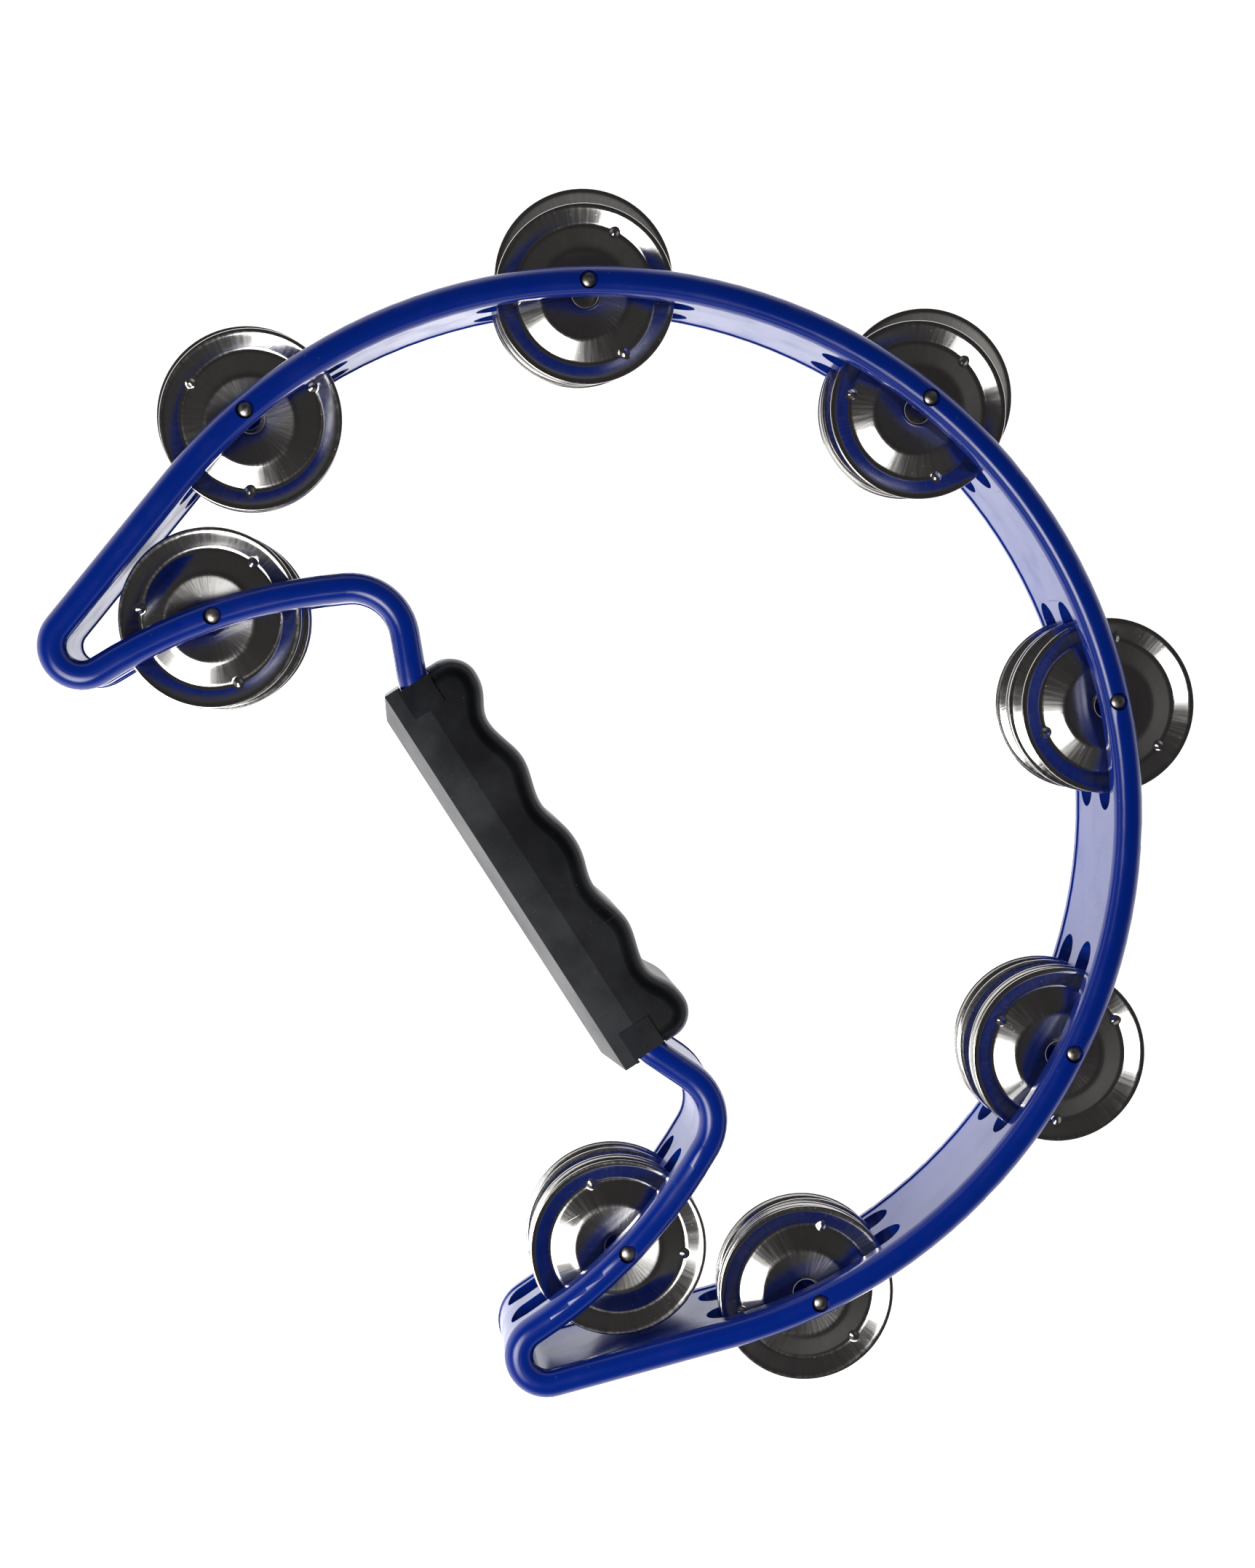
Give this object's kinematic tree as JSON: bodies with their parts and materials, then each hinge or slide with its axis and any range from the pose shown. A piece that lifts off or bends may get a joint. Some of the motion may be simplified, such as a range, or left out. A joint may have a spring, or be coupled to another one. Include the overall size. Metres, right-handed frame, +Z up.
{
  "type": "tambourine",
  "caption": "Cutaway crescent tambourine with double rows of loose jingle pairs on pins in a moulded frame and a two-piece finger-shaped hand grip.",
  "frame": {"origin": "middle of the footprint, on the surface that the tambourine lies on", "axes": "+Z up out of that surface, +X along the grip, +Y from the grip to the middle of the arc"},
  "size_m": [0.3001, 0.237, 0.042],
  "materials": {
    "frame_plastic": "glossy royal-blue moulded plastic",
    "grip_plastic": "satin black moulded plastic",
    "jingle_metal": "bright nickel-plated pressed steel with fine brushing",
    "pin_steel": "plain steel nail with a domed head"
  },
  "bodies": {
    "frame": {"frame": "frame_plastic", "grip_palm_half": "grip_plastic", "grip_finger_half": "grip_plastic", "pin_1": "pin_steel", "pin_2": "pin_steel", "pin_3": "pin_steel", "pin_4": "pin_steel", "pin_5": "pin_steel", "pin_6": "pin_steel", "pin_7": "pin_steel", "pin_8": "pin_steel"},
    "jingle_1_lower_under": {"jingle_1_lower_under": "jingle_metal"},
    "jingle_1_lower_top": {"jingle_1_lower_top": "jingle_metal"},
    "jingle_1_upper_under": {"jingle_1_upper_under": "jingle_metal"},
    "jingle_1_upper_top": {"jingle_1_upper_top": "jingle_metal"},
    "jingle_2_lower_under": {"jingle_2_lower_under": "jingle_metal"},
    "jingle_2_lower_top": {"jingle_2_lower_top": "jingle_metal"},
    "jingle_2_upper_under": {"jingle_2_upper_under": "jingle_metal"},
    "jingle_2_upper_top": {"jingle_2_upper_top": "jingle_metal"},
    "jingle_3_lower_under": {"jingle_3_lower_under": "jingle_metal"},
    "jingle_3_lower_top": {"jingle_3_lower_top": "jingle_metal"},
    "jingle_3_upper_under": {"jingle_3_upper_under": "jingle_metal"},
    "jingle_3_upper_top": {"jingle_3_upper_top": "jingle_metal"},
    "jingle_4_lower_under": {"jingle_4_lower_under": "jingle_metal"},
    "jingle_4_lower_top": {"jingle_4_lower_top": "jingle_metal"},
    "jingle_4_upper_under": {"jingle_4_upper_under": "jingle_metal"},
    "jingle_4_upper_top": {"jingle_4_upper_top": "jingle_metal"},
    "jingle_5_lower_under": {"jingle_5_lower_under": "jingle_metal"},
    "jingle_5_lower_top": {"jingle_5_lower_top": "jingle_metal"},
    "jingle_5_upper_under": {"jingle_5_upper_under": "jingle_metal"},
    "jingle_5_upper_top": {"jingle_5_upper_top": "jingle_metal"},
    "jingle_6_lower_under": {"jingle_6_lower_under": "jingle_metal"},
    "jingle_6_lower_top": {"jingle_6_lower_top": "jingle_metal"},
    "jingle_6_upper_under": {"jingle_6_upper_under": "jingle_metal"},
    "jingle_6_upper_top": {"jingle_6_upper_top": "jingle_metal"},
    "jingle_7_lower_under": {"jingle_7_lower_under": "jingle_metal"},
    "jingle_7_lower_top": {"jingle_7_lower_top": "jingle_metal"},
    "jingle_7_upper_under": {"jingle_7_upper_under": "jingle_metal"},
    "jingle_7_upper_top": {"jingle_7_upper_top": "jingle_metal"},
    "jingle_8_lower_under": {"jingle_8_lower_under": "jingle_metal"},
    "jingle_8_lower_top": {"jingle_8_lower_top": "jingle_metal"},
    "jingle_8_upper_under": {"jingle_8_upper_under": "jingle_metal"},
    "jingle_8_upper_top": {"jingle_8_upper_top": "jingle_metal"}
  },
  "joints": [
    {"name": "jingle_1_lower_under_slide", "type": "slide", "parent": "frame", "child": "jingle_1_lower_under", "axis": [0, 0, 1], "range_m": [0, 0.0013]},
    {"name": "jingle_1_lower_top_slide", "type": "slide", "parent": "jingle_1_lower_under", "child": "jingle_1_lower_top", "axis": [0, 0, 1], "range_m": [0, 0.0014]},
    {"name": "jingle_1_upper_under_slide", "type": "slide", "parent": "frame", "child": "jingle_1_upper_under", "axis": [0, 0, 1], "range_m": [0, 0.0013]},
    {"name": "jingle_1_upper_top_slide", "type": "slide", "parent": "jingle_1_upper_under", "child": "jingle_1_upper_top", "axis": [0, 0, 1], "range_m": [0, 0.0014]},
    {"name": "jingle_2_lower_under_slide", "type": "slide", "parent": "frame", "child": "jingle_2_lower_under", "axis": [0, 0, 1], "range_m": [0, 0.0013]},
    {"name": "jingle_2_lower_top_slide", "type": "slide", "parent": "jingle_2_lower_under", "child": "jingle_2_lower_top", "axis": [0, 0, 1], "range_m": [0, 0.0014]},
    {"name": "jingle_2_upper_under_slide", "type": "slide", "parent": "frame", "child": "jingle_2_upper_under", "axis": [0, 0, 1], "range_m": [0, 0.0013]},
    {"name": "jingle_2_upper_top_slide", "type": "slide", "parent": "jingle_2_upper_under", "child": "jingle_2_upper_top", "axis": [0, 0, 1], "range_m": [0, 0.0014]},
    {"name": "jingle_3_lower_under_slide", "type": "slide", "parent": "frame", "child": "jingle_3_lower_under", "axis": [0, 0, 1], "range_m": [0, 0.0013]},
    {"name": "jingle_3_lower_top_slide", "type": "slide", "parent": "jingle_3_lower_under", "child": "jingle_3_lower_top", "axis": [0, 0, 1], "range_m": [0, 0.0014]},
    {"name": "jingle_3_upper_under_slide", "type": "slide", "parent": "frame", "child": "jingle_3_upper_under", "axis": [0, 0, 1], "range_m": [0, 0.0013]},
    {"name": "jingle_3_upper_top_slide", "type": "slide", "parent": "jingle_3_upper_under", "child": "jingle_3_upper_top", "axis": [0, 0, 1], "range_m": [0, 0.0014]},
    {"name": "jingle_4_lower_under_slide", "type": "slide", "parent": "frame", "child": "jingle_4_lower_under", "axis": [0, 0, 1], "range_m": [0, 0.0013]},
    {"name": "jingle_4_lower_top_slide", "type": "slide", "parent": "jingle_4_lower_under", "child": "jingle_4_lower_top", "axis": [0, 0, 1], "range_m": [0, 0.0014]},
    {"name": "jingle_4_upper_under_slide", "type": "slide", "parent": "frame", "child": "jingle_4_upper_under", "axis": [0, 0, 1], "range_m": [0, 0.0013]},
    {"name": "jingle_4_upper_top_slide", "type": "slide", "parent": "jingle_4_upper_under", "child": "jingle_4_upper_top", "axis": [0, 0, 1], "range_m": [0, 0.0014]},
    {"name": "jingle_5_lower_under_slide", "type": "slide", "parent": "frame", "child": "jingle_5_lower_under", "axis": [0, 0, 1], "range_m": [0, 0.0013]},
    {"name": "jingle_5_lower_top_slide", "type": "slide", "parent": "jingle_5_lower_under", "child": "jingle_5_lower_top", "axis": [0, 0, 1], "range_m": [0, 0.0014]},
    {"name": "jingle_5_upper_under_slide", "type": "slide", "parent": "frame", "child": "jingle_5_upper_under", "axis": [0, 0, 1], "range_m": [0, 0.0013]},
    {"name": "jingle_5_upper_top_slide", "type": "slide", "parent": "jingle_5_upper_under", "child": "jingle_5_upper_top", "axis": [0, 0, 1], "range_m": [0, 0.0014]},
    {"name": "jingle_6_lower_under_slide", "type": "slide", "parent": "frame", "child": "jingle_6_lower_under", "axis": [0, 0, 1], "range_m": [0, 0.0013]},
    {"name": "jingle_6_lower_top_slide", "type": "slide", "parent": "jingle_6_lower_under", "child": "jingle_6_lower_top", "axis": [0, 0, 1], "range_m": [0, 0.0014]},
    {"name": "jingle_6_upper_under_slide", "type": "slide", "parent": "frame", "child": "jingle_6_upper_under", "axis": [0, 0, 1], "range_m": [0, 0.0013]},
    {"name": "jingle_6_upper_top_slide", "type": "slide", "parent": "jingle_6_upper_under", "child": "jingle_6_upper_top", "axis": [0, 0, 1], "range_m": [0, 0.0014]},
    {"name": "jingle_7_lower_under_slide", "type": "slide", "parent": "frame", "child": "jingle_7_lower_under", "axis": [0, 0, 1], "range_m": [0, 0.0013]},
    {"name": "jingle_7_lower_top_slide", "type": "slide", "parent": "jingle_7_lower_under", "child": "jingle_7_lower_top", "axis": [0, 0, 1], "range_m": [0, 0.0014]},
    {"name": "jingle_7_upper_under_slide", "type": "slide", "parent": "frame", "child": "jingle_7_upper_under", "axis": [0, 0, 1], "range_m": [0, 0.0013]},
    {"name": "jingle_7_upper_top_slide", "type": "slide", "parent": "jingle_7_upper_under", "child": "jingle_7_upper_top", "axis": [0, 0, 1], "range_m": [0, 0.0014]},
    {"name": "jingle_8_lower_under_slide", "type": "slide", "parent": "frame", "child": "jingle_8_lower_under", "axis": [0, 0, 1], "range_m": [0, 0.0013]},
    {"name": "jingle_8_lower_top_slide", "type": "slide", "parent": "jingle_8_lower_under", "child": "jingle_8_lower_top", "axis": [0, 0, 1], "range_m": [0, 0.0014]},
    {"name": "jingle_8_upper_under_slide", "type": "slide", "parent": "frame", "child": "jingle_8_upper_under", "axis": [0, 0, 1], "range_m": [0, 0.0013]},
    {"name": "jingle_8_upper_top_slide", "type": "slide", "parent": "jingle_8_upper_under", "child": "jingle_8_upper_top", "axis": [0, 0, 1], "range_m": [0, 0.0014]}
  ]
}
